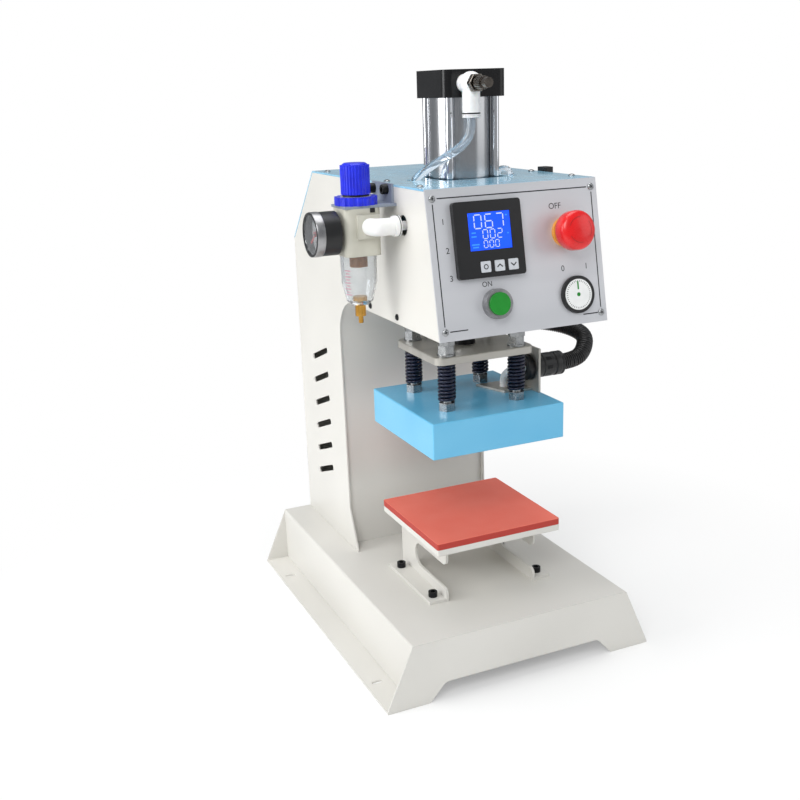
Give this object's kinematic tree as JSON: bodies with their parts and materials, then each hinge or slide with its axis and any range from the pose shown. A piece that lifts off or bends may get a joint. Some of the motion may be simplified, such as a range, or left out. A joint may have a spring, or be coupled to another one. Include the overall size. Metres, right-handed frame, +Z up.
{
  "type": "hot stamping machine",
  "caption": "Bench pneumatic hot press: C-frame with air cylinder, sprung heated head, control panel, filter regulator and silicone-padded table.",
  "frame": {"origin": "on the floor, at the centre of the four slots in the base feet", "axes": "+Z up, -Y towards the operator, +X to the operator's right"},
  "size_m": [0.3425, 0.4292, 0.6267],
  "materials": {
    "frame_paint": "semi-gloss off-white powder coat",
    "blue_paint": "semi-gloss light blue paint",
    "blue_grey_paint": "satin blue-grey paint",
    "lid_film": "glossy light blue film over steel",
    "panel_metal": "fine brushed silver",
    "barrel_aluminium": "polished extruded aluminium",
    "black_anodised": "satin black anodised",
    "steel": "ground steel",
    "screw_steel": "bright zinc plated",
    "black_steel": "black oxide",
    "spring_steel": "dark blued spring wire",
    "chrome_rod": "polished chrome",
    "satin_chrome": "satin chrome",
    "bronze": "sintered bronze",
    "brass": "turned brass",
    "white_plastic": "moulded white plastic",
    "cream_plastic": "moulded cream-grey plastic",
    "blue_plastic": "moulded blue plastic",
    "black_plastic": "moulded black plastic",
    "grey_plastic": "moulded light grey plastic",
    "amber_plastic": "moulded amber plastic",
    "red_plastic": "moulded red plastic",
    "green_plastic": "moulded green plastic",
    "clear_tube": "clear polyurethane tube",
    "window": "clear moulded window",
    "silicone": "red silicone sheet",
    "conduit_nylon": "corrugated black nylon",
    "board": "mineral insulation board"
  },
  "bodies": {
    "frame": {"base_pan": "frame_paint", "side_plate_left": "frame_paint", "side_plate_right": "frame_paint", "column_front": "frame_paint", "rear_cover": "frame_paint", "power_inlet": "black_plastic", "mount_plate": "steel", "top_cover": "lid_film", "front_panel": "panel_metal", "frame_screws": "screw_steel", "cylinder_caps": "black_anodised", "cylinder_tube": "barrel_aluminium", "tie_rods": "steel", "guide_bushes": "bronze", "air_fittings": "white_plastic", "air_tube_upper": "clear_tube", "air_tube_lower": "clear_tube", "solenoid_valve": "barrel_aluminium", "valve_coil": "black_plastic", "controller_case": "black_plastic", "clear_windows": "window", "estop_collar": "amber_plastic", "start_bezel": "satin_chrome", "selector_bezel": "black_plastic", "contact_blocks": "black_plastic", "regulator_bracket": "blue_grey_paint", "regulator_body": "cream_plastic", "regulator_ring": "blue_plastic", "regulator_bowl": "window", "filter_element": "bronze", "gauge_case": "black_plastic", "table_legs": "frame_paint", "table_plate": "frame_paint", "silicone_pad": "silicone", "table_bolts": "black_steel", "head_gland": "black_plastic", "conduit": "conduit_nylon"},
    "ram": {"piston_rod": "chrome_rod", "rod_nut": "black_steel", "guide_plate": "steel", "guide_rods": "chrome_rod", "springs": "spring_steel"},
    "platen": {"heater_cover": "blue_paint", "insulation_board": "board", "heating_plate": "barrel_aluminium", "cartridge_heaters": "white_plastic", "platen_studs": "screw_steel", "gland_bracket": "steel", "gland_connector": "black_plastic"},
    "set_key": {"key_set": "grey_plastic"},
    "up_key": {"key_up": "grey_plastic"},
    "down_key": {"key_down": "grey_plastic"},
    "estop_plunger": {"estop_stem": "black_plastic"},
    "estop_mushroom": {"estop_head": "red_plastic"},
    "start_plunger": {"start_button": "green_plastic"},
    "selector": {"selector_knob": "white_plastic"},
    "pressure_knob": {"regulator_knob": "blue_plastic"},
    "needle": {"gauge_needle": "red_plastic"},
    "drain": {"drain_valve": "brass"},
    "flow_adjuster": {"flow_screw": "black_steel"}
  },
  "joints": [
    {"name": "ram_slide", "type": "slide", "parent": "frame", "child": "ram", "axis": [0, 0, -1], "range_m": [0, 0.0945], "deforming": ["conduit"]},
    {"name": "platen_float", "type": "slide", "parent": "ram", "child": "platen", "axis": [0, 0, 1], "range_m": [0, 0.003], "stiffness_N_per_m": 20000, "deforming": ["springs"]},
    {"name": "key_set_push", "type": "slide", "parent": "frame", "child": "set_key", "axis": [0, 0.9823, -0.1874], "range_m": [0, 0.001], "stiffness_N_per_m": 800},
    {"name": "key_up_push", "type": "slide", "parent": "frame", "child": "up_key", "axis": [0, 0.9823, -0.1874], "range_m": [0, 0.001], "stiffness_N_per_m": 800},
    {"name": "key_down_push", "type": "slide", "parent": "frame", "child": "down_key", "axis": [0, 0.9823, -0.1874], "range_m": [0, 0.001], "stiffness_N_per_m": 800},
    {"name": "estop_push", "type": "slide", "parent": "frame", "child": "estop_plunger", "axis": [0, 0.9823, -0.1874], "range_m": [0, 0.006]},
    {"name": "estop_twist", "type": "hinge", "parent": "estop_plunger", "child": "estop_mushroom", "pos_m": [0.0525, -0.1913, 0.4708], "axis": [0, -0.9823, 0.1874], "range_deg": [-45, 0]},
    {"name": "start_push", "type": "slide", "parent": "frame", "child": "start_plunger", "axis": [0, 0.9823, -0.1874], "range_m": [0, 0.003], "stiffness_N_per_m": 1000},
    {"name": "selector_turn", "type": "hinge", "parent": "frame", "child": "selector", "pos_m": [0.0605, -0.20292, 0.4099], "axis": [0, -0.9823, 0.1874], "range_deg": [-90, 0]},
    {"name": "regulator_turn", "type": "hinge", "parent": "frame", "child": "pressure_knob", "pos_m": [-0.1285, -0.099, 0.52], "axis": [0, 0, 1], "range_deg": [0, 1440]},
    {"name": "gauge_swing", "type": "hinge", "parent": "frame", "child": "needle", "pos_m": [-0.17, -0.099, 0.477], "axis": [-1, 0, 0], "range_deg": [-270, 0]},
    {"name": "drain_turn", "type": "hinge", "parent": "frame", "child": "drain", "pos_m": [-0.1285, -0.099, 0.4], "axis": [0, 0, 1], "range_deg": [0, 360]},
    {"name": "flow_turn", "type": "hinge", "parent": "frame", "child": "flow_adjuster", "pos_m": [-0.013, -0.15, 0.6134], "axis": [0, -1, 0], "range_deg": [0, 1800]}
  ]
}
